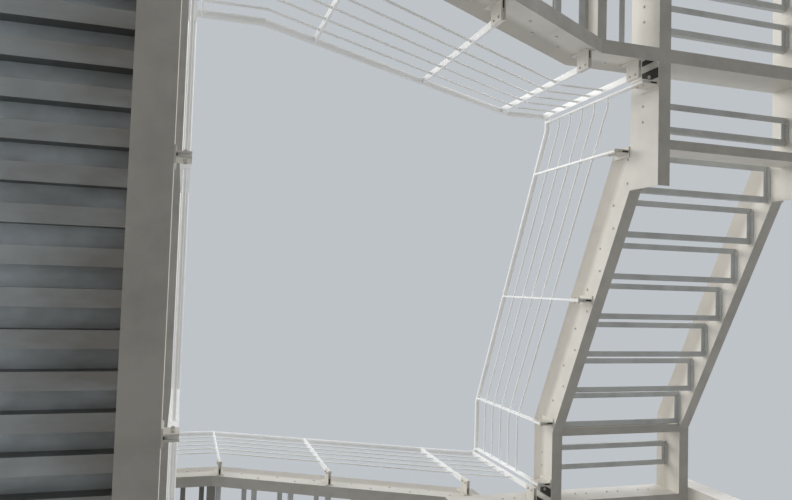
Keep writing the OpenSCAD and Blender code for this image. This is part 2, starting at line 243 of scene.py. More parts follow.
def post_places(k, storey):
    """Places of the posts along side k. The very first one, on the ground, is left out."""
    if k == LEFT:
        return [*LEFT_MID, rail_stop(k) - BEND_GAP - POST_T / 2]
    places = [
        rail_start(k) + BEND_GAP + POST_T / 2,
        FOOT_STARTS[k] + PAST_FOOT[k],
        MIDWAY[k],
        KINKS[k] - BEFORE_BEND[k],
        rail_stop(k) - (0.0 if k == FRONT else BEND_GAP + POST_T / 2),
    ]
    return places[1:] if (k, storey) == (REAR, 0) else places


def bracket_foot(k, s):
    """Lowest point of the bracket at place s of climbing side k, over its foot level."""
    if s < FOOT_STARTS[k]:
        return LEFT_FOOT if k == REAR else BRACKET_GAP - LOW
    if s < FEET[k]:
        return BRACKET_GAP + KICK_H
    if s < KINKS[k] - BRACKET_W / 2:
        return BRACKET_GAP + KICK_H + SLOPES[k] * (s + BRACKET_W / 2 - FEET[k])
    return BRACKET_GAP + FLIGHT_H - LOW


def brackets():
    """Side, foot level, place, lowest point and rail distance of every post bracket."""
    out = []
    for storey in (0, 1):
        for k in (REAR, RIGHT, FRONT):
            z = storey * STOREY_H + k * FLIGHT_H
            out += [(k, z, s, bracket_foot(k, s), RAIL_OFF) for s in post_places(k, storey)]
        z = (storey + 1) * STOREY_H
        out += [(LEFT, z, s, LEFT_FOOT, LEFT_RAIL_OFF) for s in post_places(LEFT, storey)]
    return out


def frame_places():
    """Side, level and place of every floor frame of the landings."""
    half = FRAME_D / 2
    out = []
    for storey in (0, 1):
        for k in (REAR, RIGHT, FRONT, LEFT):
            z = storey * STOREY_H + k * FLIGHT_H
            if k in (RIGHT, FRONT):
                out += [(k, z, -FRAME_FIRST - FRAME_PITCH * i) for i in range(FRAMES)]
            if k in (RIGHT, FRONT) or (k, storey) == (REAR, 1):
                s = EDGES[k] - EDGE_W - BAY_GAP - half
                while s >= half:
                    out.append((k, z, s))
                    s -= FRAME_D + BAY_GAP
            if k != REAR:
                out.append((k - 1, z, (KINKS[k - 1] + EDGE_W / 2 + span(k - 1) - FLANGE_W) / 2))
    return out


def new_piece(name, shape, material):
    """A mesh object of a shape, riding on the tower. A shape is its points and a list of arrays
    of faces, with one number of corners throughout each array."""
    points, faces = shape
    mesh = bpy.data.meshes.new(name)
    mesh.from_pydata(points.tolist(), [], [f for group in faces for f in group.tolist()])
    mesh.validate()
    mesh.update()
    piece = bpy.data.objects.new(name, mesh)
    bpy.context.scene.collection.objects.link(piece)
    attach(piece, "root")
    mesh.materials.append(material)


def revolve(profile, sides):
    """A closed turned form: each (radius, height) of the profile swept round the height axis in
    so many sides, with one flat face at each end."""
    prof = np.asarray(profile, float)
    a = np.arange(sides) * 2 * math.pi / sides
    pts = np.stack(
        [prof[:, :1] * np.cos(a), prof[:, :1] * np.sin(a), np.repeat(prof[:, 1:], sides, 1)], -1
    ).reshape(-1, 3)
    i = np.arange(sides)
    j = (i + 1) % sides
    rings = np.arange(len(prof) - 1)[:, None] * sides
    walls = np.stack([rings + i, rings + j, rings + sides + j, rings + sides + i], -1)
    return pts, [walls.reshape(-1, 4), np.stack([i[::-1], i + (len(prof) - 1) * sides])]


def prism(outline):
    """A closed outline of (x, y) carried along the third axis from 0 to 1, with flat ends."""
    xy = np.asarray(outline, float)
    n = len(xy)
    pts = np.concatenate([np.c_[xy, np.zeros(n)], np.c_[xy, np.ones(n)]])
    i = np.arange(n)
    j = (i + 1) % n
    return pts, [np.stack([i, j, j + n, i + n], -1), np.stack([i[::-1], i + n])]


def fillet(leg, steps, hollow=1.0):
    """A fillet with two legs of one length, carried along the third axis from 0 to 1. Its section
    is a corner and the quarter circle round the corner's opposite point, or for hollow 0 the
    straight line between the ends of the legs."""
    a = np.linspace(0.0, math.pi / 2, steps + 1)
    arc = np.stack([1 - np.sin(a), 1 - np.cos(a)], -1)
    line = np.stack([1 - a / a[-1], a / a[-1]], -1)
    return prism(np.concatenate([[(0.0, 0.0)], (hollow * arc + (1 - hollow) * line) * leg]))


def block(k, z, at, size):
    """A box of the given size on well side k at level z, from its lowest corner."""
    pts, faces = prism([(0, 0), (1, 0), (1, 1), (0, 1)])
    return place(k, z, pts * size + at), faces


def join(shapes):
    """Several shapes as one."""
    pts, faces, n = [], [], 0
    for p, groups in shapes:
        pts.append(p)
        faces += [group + n for group in groups]
        n += len(p)
    return np.concatenate(pts), faces


def framed(shape, origins, *directions):
    """The shape repeated at each origin: point = origin + x, y and z times the three directions
    given for that origin."""
    pts, faces = shape
    o, *axes = (np.asarray(v, float).reshape(-1, 1, 3) for v in (origins, *directions))
    out = o + sum(pts[:, i, None] * axis for i, axis in enumerate(axes))
    starts = np.arange(len(o))[:, None, None] * len(pts)
    return out.reshape(-1, 3), [(starts + f).reshape(-1, f.shape[1]) for f in faces]


def copies(shape, origins, axes):
    """The shape repeated at each origin with its height along each axis: point = origin + x times
    a level direction square to the axis + y times the one square to both + z times the axis."""
    n = np.asarray(axes, float).reshape(-1, 3)
    n = n / np.linalg.norm(n, axis=1, keepdims=True)
    x = np.cross(np.where(np.abs(n[:, 2:]) < 0.9, (0.0, 0.0, 1.0), (1.0, 0.0, 0.0)), n)
    x /= np.linalg.norm(x, axis=1, keepdims=True)
    return framed(shape, origins, x, np.cross(n, x), n)


def bolt_shape(size):
    """Hexagon head of the given size across the flats on a round washer, seated at height 0."""
    corner, wash, base = size / math.sqrt(3), size * WASHER_R, size * WASHER_T
    top = base + size * HEAD_H
    head = [(corner, base), (corner, top - size * HEAD_RIM), (corner * HEAD_TOP, top)]
    return join([revolve([(wash, 0), (wash, base)], WASHER_SIDES), revolve(head, 6)])


def nut_shape(size, sides=WASHER_SIDES):
    """Washer of so many sides, hexagon nut and the bolt's end with two sides fewer, seated at
    height 0."""
    corner, wash, base = size / math.sqrt(3), size * WASHER_R, size * WASHER_T
    top, stud = base + size * NUT_H, size * STUD_R
    return join(
        [
            revolve([(wash, 0), (wash, base)], sides),
            revolve([(corner, base), (corner, top)], 6),
            revolve([(stud, top), (stud * STUD_TAPER, top + size * STUD_H)], sides - 2),
        ]
    )


def through_bolt(size, grip):
    """A bolt through a plate: its head at height 0, and beyond the grip a washer, a nut and the
    bolt's end, turned half round a level axis."""
    far, far_faces = nut_shape(size)
    return join([bolt_shape(size), (far * (1, -1, -1) - (0, 0, grip), far_faces)])


def end_bolts(spots, gap, drop, size):
    """Bolts through the webs at both ends of the pieces between two beams: two a web, the gap
    apart and the drop below the piece's top. A spot is a side, a level and a place along it."""
    origins, axes = [], []
    for k, z, s in spots:
        for y, n in ((0.0, 1.0), (-RUN_W - WEB_T, -1.0)):
            origins.append(place(k, z, [(s - gap / 2, y, -drop), (s + gap / 2, y, -drop)]))
            axes.append(turn(k, [(0.0, n, 0.0)] * 2))
    return copies(through_bolt(size, WEB_T + END_PLATE_T), origins, axes)


# finishes


def new_group(name, inputs, outputs):
    """A shader node group with named sockets."""
    group = bpy.data.node_groups.new(name, "ShaderNodeTree")
    for label, kind, value in inputs:
        s = group.interface.new_socket(label, in_out="INPUT", socket_type=kind)
        s.default_value = value
    for label, kind in outputs:
        group.interface.new_socket(label, in_out="OUTPUT", socket_type=kind)
    return group


class Nodes:
    """Short ways to add and link nodes of one tree."""

    def __init__(self, tree):
        self.tree = tree

    def add(self, kind, **settings):
        n = self.tree.nodes.new(kind)
        for key, value in settings.items():
            setattr(n, key, value)
        return n

    def link(self, source, target):
        self.tree.links.new(source, target)

    def put(self, socket, value):
        if isinstance(value, bpy.types.NodeSocket):
            self.link(value, socket)
        else:
            socket.default_value = value

    def math(self, op, a, b=0.0, c=None, clamp=False):
        n = self.add("ShaderNodeMath", operation=op, use_clamp=clamp)
        self.put(n.inputs[0], a)
        self.put(n.inputs[1], b)
        if c is not None:
            self.put(n.inputs[2], c)
        return n.outputs[0]

    def noise(self, vector, scale, detail=3.0, rough=0.5, stretch=None):
        if stretch:
            m = self.add("ShaderNodeMapping")
            m.inputs["Scale"].default_value = stretch
            self.link(vector, m.inputs["Vector"])
            vector = m.outputs["Vector"]
        n = self.add("ShaderNodeTexNoise")
        n.inputs["Scale"].default_value = scale
        n.inputs["Detail"].default_value = detail
        n.inputs["Roughness"].default_value = rough
        self.link(vector, n.inputs["Vector"])
        return n.outputs["Fac"]

    def range(self, value, lo, hi, to_lo=0.0, to_hi=1.0):
        n = self.add("ShaderNodeMapRange", clamp=True)
        self.put(n.inputs["Value"], value)
        for key, v in (("From Min", lo), ("From Max", hi), ("To Min", to_lo), ("To Max", to_hi)):
            self.put(n.inputs[key], v)
        return n.outputs["Result"]

    def mix(self, fac, a, b, blend="MIX"):
        n = self.add("ShaderNodeMix", data_type="RGBA", blend_type=blend)
        self.put(n.inputs["Factor"], fac)
        self.put(n.inputs["A"], a)
        self.put(n.inputs["B"], b)
        return n.outputs["Result"]


def srgb(r, g, b):
    """A display colour of 0 to 255 parts as linear light."""
    c = np.array([r, g, b]) / 255
    c = np.where(c <= 0.04045, c / 12.92, ((c + 0.055) / 1.055) ** 2.4)
    return (*c.tolist(), 1.0)


def paint_film_group():
    """Site paint: slow tone changes, roller grain, streaks that run down upright faces, a soft
    grey film of soil in clouds, made stronger on faces that look down as painted shade, and
    painted shade that darkens faces that look down."""
    g = new_group(
        "paint_film",
        [
            ("Paint", "NodeSocketColor", (0.7, 0.7, 0.68, 1)),
            ("Soil", "NodeSocketColor", (0.35, 0.33, 0.3, 1)),
            ("Soil Amount", "NodeSocketFloat", 0.3),
            ("Gloss", "NodeSocketFloat", 0.5),
            ("Under", "NodeSocketFloat", 1.0),
        ],
        [
            ("Color", "NodeSocketColor"),
            ("Roughness", "NodeSocketFloat"),
            ("Height", "NodeSocketFloat"),
        ],
    )
    t = Nodes(g)
    i, o = t.add("NodeGroupInput"), t.add("NodeGroupOutput")
    obj = t.add("ShaderNodeTexCoord").outputs["Object"]
    facing = t.add("ShaderNodeSeparateXYZ")
    t.link(t.add("ShaderNodeNewGeometry").outputs["True Normal"], facing.inputs[0])
    upright = t.range(t.math("ABSOLUTE", facing.outputs["Z"]), 0.3, 0.7, 1.0, 0.0)
    down = t.range(facing.outputs["Z"], -0.9, -0.4, 1.0, 0.0)
    slow = t.noise(obj, scale=1.7, detail=4, rough=0.55)
    grain = t.noise(obj, scale=140, detail=3, rough=0.6)
    streaks = t.noise(obj, scale=26, detail=3, rough=0.55, stretch=(1, 1, 0.07))
    cloud = t.noise(obj, scale=5, detail=5, rough=0.6)
    tone = t.range(slow, 0.3, 0.7, 0.955, 1.03)
    paint = t.mix(1.0, i.outputs["Paint"], tone, "MULTIPLY")
    patch = t.range(cloud, 0.48, 0.66)
    runs = t.math("MULTIPLY", t.math("MULTIPLY", t.range(streaks, 0.55, 0.8), upright), patch)
    # grey soil in clouds, made stronger on faces that look down as painted shade
    film_and_shade = t.math("MULTIPLY", t.range(cloud, 0.42, 0.75), t.math("MULTIPLY_ADD", down, 0.6, 0.4))
    soil_and_shade = t.math("MULTIPLY", t.math("MAXIMUM", runs, film_and_shade), i.outputs["Soil Amount"], clamp=True)
    # painted shade: faces that look down are darkened, the more the lower the underside setting
    shade = t.math("MULTIPLY", down, t.math("SUBTRACT", 1.0, i.outputs["Under"]))
    colour = t.mix(soil_and_shade, paint, i.outputs["Soil"])
    lit = t.mix(1.0, colour, t.math("SUBTRACT", 1.0, shade), "MULTIPLY")
    t.link(lit, o.inputs["Color"])
    rough = t.math("ADD", i.outputs["Gloss"], t.range(cloud, 0.3, 0.7, -0.05, 0.07))
    t.link(rough, o.inputs["Roughness"])
    t.link(t.math("MULTIPLY_ADD", grain, 0.25, slow), o.inputs["Height"])
    return g


def web_band_group():
    """Mask of the painted shade on a flight's webs: whether a point is above the middle line of a
    flight's channel. The line climbs to the upper bend and runs level from there. It keeps its
    slope before the start, so more than half of the level foot counts as above."""
    g = new_group(
        "web_band",
        [
            ("Along", "NodeSocketVector", (1, 0, 0)),
            ("Start", "NodeSocketFloat", 0.0),
            ("Slope", "NodeSocketFloat", 0.5),
            ("Low", "NodeSocketFloat", 0.0),
            ("High", "NodeSocketFloat", 1.0),
            ("Blur", "NodeSocketFloat", 0.01),
        ],
        [("Band", "NodeSocketFloat")],
    )
    t = Nodes(g)
    i, o = t.add("NodeGroupInput"), t.add("NodeGroupOutput")
    obj = t.add("ShaderNodeTexCoord").outputs["Object"]
    along = t.add("ShaderNodeVectorMath", operation="DOT_PRODUCT")
    t.link(obj, along.inputs[0])
    t.link(i.outputs["Along"], along.inputs[1])
    xyz = t.add("ShaderNodeSeparateXYZ")
    t.link(obj, xyz.inputs[0])
    run = t.math("SUBTRACT", along.outputs["Value"], i.outputs["Start"])
    line = t.math("MULTIPLY_ADD", run, i.outputs["Slope"], i.outputs["Low"])
    line = t.math("MINIMUM", line, i.outputs["High"])
    above = t.math("DIVIDE", t.math("SUBTRACT", xyz.outputs["Z"], line), i.outputs["Blur"])
    t.link(t.range(above, -1.0, 1.0), o.inputs["Band"])
    return g


def deck_zinc_group():
    """Tones of a ribbed zinc floor: plain zinc on top, and below it painted shade on the side
    walls of the ribs, painted blue-grey light on the ceilings between them that brightens away
    from the well, and warm painted shade on the soffits beside the beam."""
    g = new_group(
        "deck_zinc",
        [
            ("Zinc", "NodeSocketColor", (0.5, 0.5, 0.5, 1)),
            ("Bloom", "NodeSocketColor", (0.6, 0.66, 0.7, 1)),
            ("Warm", "NodeSocketColor", (0.7, 0.7, 0.66, 1)),
            ("Wall", "NodeSocketFloat", 0.4),
            ("Storey", "NodeSocketFloat", 3.6),
            ("Floor", "NodeSocketFloat", 0.006),
            ("Beam Edge", "NodeSocketFloat", -1.54),
        ],
        [("Color", "NodeSocketColor")],
    )
    t = Nodes(g)
    i, o = t.add("NodeGroupInput"), t.add("NodeGroupOutput")
    obj = t.add("ShaderNodeTexCoord").outputs["Object"]
    xyz, facing = t.add("ShaderNodeSeparateXYZ"), t.add("ShaderNodeSeparateXYZ")
    t.link(obj, xyz.inputs[0])
    t.link(t.add("ShaderNodeNewGeometry").outputs["True Normal"], facing.inputs[0])
    wall = t.range(t.math("ABSOLUTE", facing.outputs["Z"]), 0.3, 0.7, 1.0, 0.0)
    below = t.math("SUBTRACT", xyz.outputs["Z"], 0.001)
    below = t.math("SUBTRACT", 1.0, t.math("FRACT", t.math("DIVIDE", below, i.outputs["Storey"])))
    below = t.math("MULTIPLY", below, i.outputs["Storey"])
    ceiling = t.math("LESS_THAN", below, t.math("MULTIPLY", i.outputs["Floor"], 1.8))
    # painted light and shade: lighter and bluer away from the well, warmer and darker beside the
    # beam
    away = t.math("SUBTRACT", i.outputs["Beam Edge"], xyz.outputs["X"])
    cloud = t.noise(obj, scale=2.2, detail=4, rough=0.6, stretch=(1.0, 3.0, 1.0))
    away = t.math("ADD", away, t.range(cloud, 0.3, 0.7, -0.15, 0.15))
    far = t.range(away, 0.0, 0.45)
    strength = t.math("MULTIPLY_ADD", ceiling, 0.6, 0.3)
    bloom = t.math("MULTIPLY", far, strength, clamp=True)
    beside = t.math("MULTIPLY", t.math("SUBTRACT", 1.0, far), t.math("SUBTRACT", 1.0, ceiling))
    colour = t.mix(beside, i.outputs["Zinc"], i.outputs["Warm"])
    colour = t.mix(bloom, colour, i.outputs["Bloom"])
    up = t.range(facing.outputs["Z"], 0.4, 0.9)
    colour = t.mix(up, colour, i.outputs["Zinc"])
    # painted shade on the ribs' side walls, which keep the Wall share of their colour
    dark = t.math("MULTIPLY", wall, t.math("SUBTRACT", 1.0, i.outputs["Wall"]))
    shade = t.math("SUBTRACT", 1.0, dark)
    t.link(t.mix(1.0, colour, shade, "MULTIPLY"), o.inputs["Color"])
    return g


def group_node(tree, make, **values):
    """A node of a shared group, made on first use, with its own constant values."""
    name = make.__name__.removesuffix("_group")
    n = tree.add("ShaderNodeGroup")
    n.node_tree = bpy.data.node_groups.get(name) or make()
    for key, value in values.items():
        n.inputs[key.replace("_", " ")].default_value = value
    return n


def painted(
    name, colour, soil_and_shade=0.25, gloss=0.5, metal=0.0, under=1.0, bump=0.2, shade=None, band=None,
    deck=None,
):
    """Painted or zinc-coated steel in one colour, with painted shade over a flight's upper half
    where a band is given, and the tones of a ribbed floor with their painted light and shade where
    a deck is given."""
    mat = bpy.data.materials.new(name)
    mat.use_nodes = True
    mat.node_tree.nodes.clear()
    t = Nodes(mat.node_tree)
    film_and_shade = group_node(
        t, paint_film_group, Paint=colour, Soil=srgb(*SOIL_TONE), Soil_Amount=soil_and_shade, Gloss=gloss,
        Under=under,
    )
    tone = film_and_shade.outputs["Color"]
    if deck:
        t.link(group_node(t, deck_zinc_group, **deck).outputs["Color"], film_and_shade.inputs["Paint"])
    # painted shade over the upper half of a flight's webs
    if band:
        upper = group_node(t, web_band_group, **band).outputs["Band"]
        shaded = t.mix(1.0, tone, shade, "MULTIPLY")
        tone = t.mix(t.math("MULTIPLY", upper, SHADE_SHARE), tone, shaded)
    relief = t.add("ShaderNodeBump")
    relief.inputs["Strength"].default_value = bump
    relief.inputs["Distance"].default_value = RELIEF
    surface = t.add("ShaderNodeBsdfPrincipled")
    surface.inputs["Metallic"].default_value = metal
    t.link(film_and_shade.outputs["Height"], relief.inputs["Height"])
    t.link(tone, surface.inputs["Base Color"])
    t.link(film_and_shade.outputs["Roughness"], surface.inputs["Roughness"])
    t.link(relief.outputs["Normal"], surface.inputs["Normal"])
    t.link(surface.outputs["BSDF"], t.add("ShaderNodeOutputMaterial").inputs["Surface"])
    return mat


def finish(name, colour, **more):
    """The material of that name, made on first use."""
    known = bpy.data.materials.get(name)
    return known or painted(name, colour, **FINISHES.get(name, {}), **more)


# settings


class StairPaint(bpy.types.PropertyGroup):
    """Colours of the finishes."""

    paint: bpy.props.FloatVectorProperty(
        name="Paint", description="Off-white site paint", subtype="COLOR", size=4,
        default=srgb(224, 220, 211),
    )
    # painted shade on the upper half of the flights' webs
    shade: bpy.props.FloatVectorProperty(
        name="Upper Web", description="Tone of the upper half of the flights' webs",
        subtype="COLOR", size=4, default=srgb(214, 211, 207),
    )
    tread: bpy.props.FloatVectorProperty(
        name="Tread Paint", description="Greyer white of treads and floor frames",
        subtype="COLOR", size=4, default=srgb(205, 208, 207),
    )
    rail: bpy.props.FloatVectorProperty(
        name="Rail Paint", description="White of the railings", subtype="COLOR", size=4,
        default=srgb(250, 251, 250),
    )
    deck: bpy.props.FloatVectorProperty(
        name="Deck", description="Zinc of the ribbed floors", subtype="COLOR", size=4,
        default=srgb(149, 152, 152),
    )
    # warm painted shade on the ribs' soffits beside the beam
    beside: bpy.props.FloatVectorProperty(
        name="Deck at Beam", description="Warm tone of the ribs' soffits beside the beam",
        subtype="COLOR", size=4, default=srgb(130, 128, 123),
    )
    # painted shade: the share of their colour that the undersides of beams and flights keep
    under: bpy.props.FloatProperty(
        name="Undersides", description="Tone of the beams' undersides next to their other sides",
        default=0.68, subtype="FACTOR",
    )
    # painted blue-grey light on the ceilings between the ribs
    bloom: bpy.props.FloatVectorProperty(
        name="Zinc Bloom", description="Blue-grey bloom on the zinc", subtype="COLOR", size=4,
        default=srgb(226, 238, 244),
    )
    # painted shade: colour of the dark blocks in the brackets' slots and the well corners
    rubber: bpy.props.FloatVectorProperty(
        name="Painted Shade", description="Dark packing in the brackets and well corners",
        subtype="COLOR", size=4, default=srgb(52, 50, 47),
    )
    bolt: bpy.props.FloatVectorProperty(
        name="Bolt Paint", description="Colour of bolts, nuts and washers", subtype="COLOR",
        size=4, default=srgb(216, 212, 204),
    )
    zinc: bpy.props.FloatVectorProperty(
        name="Zinc", description="Bare zinc of the anchor bolts", subtype="COLOR", size=4,
        default=srgb(168, 170, 172),
    )


class StairStage(bpy.types.PropertyGroup):
    """Light and floor."""

    key: bpy.props.FloatProperty(name="Key", description="Strength of the soft sun", default=1.3)
    fill: bpy.props.FloatProperty(
        name="Fill", description="Strength of the soft light from the right", default=0.9
    )
    horizon: bpy.props.FloatProperty(
        name="Horizon", description="Strength of the sky at eye level", default=1.4
    )
    zenith: bpy.props.FloatProperty(
        name="Zenith", description="Strength of the sky overhead", default=0.5
    )
    front: bpy.props.FloatProperty(
        name="Front", description="Share of its strength that the sky keeps in front",
        default=0.62, subtype="FACTOR",
    )
    floor: bpy.props.FloatProperty(
        name="Floor", description="Light that the floor gives back", default=0.29,
        subtype="FACTOR",
    )
    pale: bpy.props.FloatVectorProperty(
        name="Floor Colour", description="Colour of the floor as the camera sees it",
        subtype="COLOR", size=4, default=(0.6, 0.605, 0.61, 1.0),
    )
    back: bpy.props.FloatVectorProperty(
        name="Backdrop", description="Colour behind the tower", subtype="COLOR", size=4,
        default=srgb(190, 195, 200),
    )


# pieces


def flight_band(k, z):
    """Where the channels of the flight of side k from level z have their middle line, above which
    their webs get painted shade.
    """
    return {
        "Along": turn(k, (1.0, 0.0, 0.0)).tolist(),
        "Start": FEET[k] - span(k) / 2,
        "Slope": SLOPES[k],
        "Low": z + KICK_H + BEAM_H / 2 * math.hypot(1, SLOPES[k]),
        "High": z + FLIGHT_H - LOW + BEAM_H / 2,
        "Blur": SHADE_BLUR,
    }


def deck_tones(colours):
    """Tones and places of the left landings' ribbed floors."""
    return {
        "Zinc": colours.deck[:],
        "Bloom": colours.bloom[:],
        "Warm": colours.beside[:],
        "Storey": STOREY_H,
        "Floor": FLOOR_T,
        "Beam Edge": -WELL[0] / 2 - LEFT_FLANGE_W,
    }


class STAIR_OT_paint(bpy.types.Operator):
    """Gives each piece of the frame its painted finish"""

    bl_idname = "stair.paint"
    bl_label = "Paint the Steelwork"

    def finish_of(self, name, colours):
        """The finish of the piece of that name."""
        if name.startswith("railing"):
            return finish("rail_paint", colours.rail[:])
        if name.endswith("_stringers"):
            k, z = FLIGHTS[int(name.split("_")[1]) - 1]
            return finish(
                name.replace("stringers", "paint"), colours.paint[:], under=colours.under,
                shade=colours.shade[:], band=flight_band(k, z),
            )
        if name.startswith("left_landing") and name.endswith("_floor"):
            return finish("deck_zinc", colours.deck[:], deck=deck_tones(colours))
        if name.endswith(("_treads", "_floor_frames")):
            return finish("tread_paint", colours.tread[:])
        if name.endswith("_beams"):
            return finish("beam_paint", colours.paint[:], under=colours.under)
        return finish("site_paint", colours.paint[:])

    def execute(self, context):
        for name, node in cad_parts.items():
            mat = self.finish_of(name, context.scene.stair_paint)
            node.data.materials.clear()
            node.data.materials.append(mat)
        return {"FINISHED"}


class STAIR_OT_tread_bolts(bpy.types.Operator):
    """Two bolts through each stringer web at both ends of every tread"""

    bl_idname = "stair.tread_bolts"
    bl_label = "Tread Bolts"

    gap: bpy.props.FloatProperty(
        name="Gap", description="Distance between the two bolts", default=0.154, unit="LENGTH"
    )
    drop: bpy.props.FloatProperty(
        name="Drop", description="Depth below the tread top", default=0.05, unit="LENGTH"
    )
    size: bpy.props.FloatProperty(
        name="Head", description="Size across the flats", default=0.013, unit="LENGTH"
    )

    def execute(self, context):
        spots = [
            (k, z + RISE * i, FIRST_TREADS[k] + GOINGS[k] * (i - 1))
            for k, z in FLIGHTS
            for i in range(1, RISERS)
        ]
        paint = finish("bolt_paint", context.scene.stair_paint.bolt[:])
        new_piece("tread_bolts", end_bolts(spots, self.gap, self.drop, self.size), paint)
        return {"FINISHED"}


class STAIR_OT_frame_bolts(bpy.types.Operator):
    """Two bolts through each beam web at both ends of every landing floor frame"""

    bl_idname = "stair.frame_bolts"
    bl_label = "Floor Frame Bolts"

    gap: bpy.props.FloatProperty(
        name="Gap", description="Distance between the two bolts", default=0.1, unit="LENGTH"
    )
    drop: bpy.props.FloatProperty(
        name="Drop", description="Depth below the floor", default=0.05, unit="LENGTH"
    )
    size: bpy.props.FloatProperty(
        name="Head", description="Size across the flats", default=0.013, unit="LENGTH"
    )

    def execute(self, context):
        shape = end_bolts(frame_places(), self.gap, self.drop, self.size)
        paint = finish("bolt_paint", context.scene.stair_paint.bolt[:])
        new_piece("floor_frame_bolts", shape, paint)
        return {"FINISHED"}


class STAIR_OT_bracket_bolts(bpy.types.Operator):
    """Two bolts through both ears and the post at every bracket, and one into the flights' and
    corner landings' webs"""

    bl_idname = "stair.bracket_bolts"
    bl_label = "Bracket Bolts"

    low: bpy.props.FloatProperty(
        name="Low", description="Height of the lower post bolt", default=0.03, unit="LENGTH"
    )
    gap: bpy.props.FloatProperty(
        name="Gap", description="Distance between the post bolts", default=0.058, unit="LENGTH"
    )
    web: bpy.props.FloatProperty(
        name="Web Bolt", description="Height of the bolt into the web", default=0.138,
        unit="LENGTH",
    )
    size: bpy.props.FloatProperty(
        name="Head", description="Size across the flats", default=0.013, unit="LENGTH"
    )

    def execute(self, context):
        half = POST_T / 2 + BRACKET_T
        post, post_axes, web, web_axes = [], [], [], []
        for k, z, s, foot, off in brackets():
            up = foot + self.low
            post.append(place(k, z, [(s - half, off, up), (s - half, off, up + self.gap)]))
            post_axes.append(turn(k, [(-1.0, 0.0, 0.0)] * 2))
            if foot != LEFT_FOOT:
                web.append(place(k, z, (s, BRACKET_T, foot + self.web)))
                web_axes.append(turn(k, (0.0, 1.0, 0.0)))
        shape = join(
            [
                copies(through_bolt(self.size, 2 * half), post, post_axes),
                copies(bolt_shape(self.size), web, web_axes),
            ]
        )
        new_piece("bracket_bolts", shape, finish("bolt_paint", context.scene.stair_paint.bolt[:]))
        return {"FINISHED"}


class STAIR_OT_packing(bpy.types.Operator):
    """Dark blocks as painted shade in the brackets' slots and on the webs beside each well corner,
    with a spacer between the ears and a bolt through the dark block at the corner"""

    bl_idname = "stair.packing"
    bl_label = "Packing and Spacers"

    # sizes of the dark blocks of painted shade
    depth: bpy.props.FloatProperty(
        name="Slot", description="How far the packing reaches from the web", default=0.05,
        unit="LENGTH",
    )
    rim: bpy.props.FloatProperty(
        name="Rim", description="Web left bare below the packing", default=0.008, unit="LENGTH"
    )
    thick: bpy.props.FloatProperty(
        name="Thickness", description="Thickness of the packing on the webs", default=0.004,
        unit="LENGTH",
    )
    height: bpy.props.FloatProperty(
        name="Height", description="Height of the packing on the webs", default=0.155,
        unit="LENGTH",
    )
    bolt: bpy.props.FloatProperty(
        name="Bolt", description="Size across the flats of the corner bolt", default=0.019,
        unit="LENGTH",
    )

    def slots(self):
        """The dark block of painted shade and the spacer of every bracket, as blocks between its
        ears. A block too short to show is left out."""
        dark, light = [], []
        wide, high = POST_T - SLOT_PLAY, EAR_H - 2 * self.rim
        for k, z, s, foot, off in brackets():
            near = off - POST_W / 2
            split = min(self.depth, near - SPACER_MIN)
            for lo, hi, blocks in ((BRACKET_T, split, dark), (split, near - SPACER_GAP, light)):
                if hi - lo > BLOCK_MIN:
                    at = (s - wide / 2, lo, foot + self.rim)
                    blocks.append(block(k, z, at, (wide, hi - lo, high)))
        return dark, light

    def corners(self):
        """The dark blocks of painted shade on both webs of each well corner, and the bolt in that
        on the right side.
        """
        lo, hi = CORNER_R, RAIL_OFF + BEND_R + BEND_GAP - BRACKET_T - CORNER_GAP
        size = (hi - lo, self.thick, self.height)
        foot = self.rim - LOW
        dark, bolts = [], []
        for k, z in CORNERS:
            for side, s in ((k, lo), (k - 1, span(k - 1) - hi)):
                dark.append(block(side, z, (s, 0.0, foot), size))
                if side == RIGHT:
                    middle = (s + size[0] / 2, self.thick, foot + CORNER_BOLT_UP)
                    bolts.append(place(side, z, middle))
        axes = np.tile(turn(RIGHT, (0.0, 1.0, 0.0)), (len(bolts), 1))
        return dark, copies(bolt_shape(self.bolt), bolts, axes)

    def execute(self, context):
        colours = context.scene.stair_paint
        dark, light = self.slots()
        corner, bolts = self.corners()
        # dark blocks as painted shade in the slots and the well corners
        new_piece("packing", join(dark + corner), finish("rubber", colours.rubber[:]))
        new_piece("spacers", join([*light, bolts]), finish("site_paint", colours.paint[:]))
        return {"FINISHED"}


class STAIR_OT_anchor_bolts(bpy.types.Operator):
    """Nuts, washers and stud ends on the base plates"""

    bl_idname = "stair.anchor_bolts"
    bl_label = "Anchor Bolts"

    size: bpy.props.FloatProperty(
        name="Nut", description="Size across the flats", default=0.03, unit="LENGTH"
    )

    def execute(self, context):
        half = BOLT_GAP / 2
        origins = [
            place(k, 0.0, (x + i * half, y + j * half, PLATE_T))
            for k, x, y in COLUMNS
            for i in (-1, 1)
            for j in (-1, 1)
        ]
        axes = np.tile((0.0, 0.0, 1.0), (len(origins), 1))
        shape = copies(nut_shape(self.size, ANCHOR_SIDES), origins, axes)
        new_piece("anchor_nuts", shape, finish("anchor_zinc", context.scene.stair_paint.zinc[:]))
        return {"FINISHED"}


